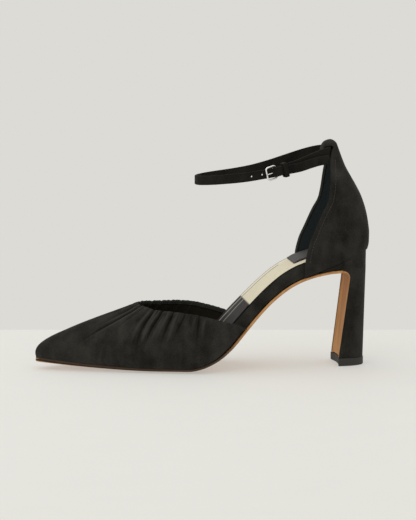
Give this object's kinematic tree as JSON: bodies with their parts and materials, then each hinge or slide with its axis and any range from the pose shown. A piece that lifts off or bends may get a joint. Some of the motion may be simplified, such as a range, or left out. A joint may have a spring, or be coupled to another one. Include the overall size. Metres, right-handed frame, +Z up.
{
  "type": "ankle strap pump",
  "caption": "Pointed court shoe with a gathered vamp, open waist, closed heel cup, buckled ankle strap and a high block heel.",
  "frame": {"origin": "centre of the bounding box, on the floor plane that the shoe stands on", "axes": "+X along the foot from the toe to the heel, +Y to the inner (medial) side, +Z up"},
  "size_m": [0.2401, 0.078, 0.1619],
  "materials": {
    "black_suede": "black napped suede, matt",
    "tan_leather": "tan sole leather, satin",
    "ivory_leather": "ivory lining leather, satin",
    "grey_leather": "dark grey lining leather, satin",
    "black_rubber": "dark grey rubber, matt",
    "buckle_silver": "polished silver-coloured metal"
  },
  "bodies": {
    "root": {"outsole": "tan_leather", "insole_board": "black_suede", "sock_lining": "ivory_leather", "heel_pad": "grey_leather", "vamp": "black_suede", "quarter": "black_suede", "heel": "black_suede", "toplift": "black_rubber", "ankle_strap": "black_suede", "buckle_frame": "buckle_silver", "buckle_prong": "buckle_silver", "strap_keeper": "black_suede"}
  },
  "joints": []
}
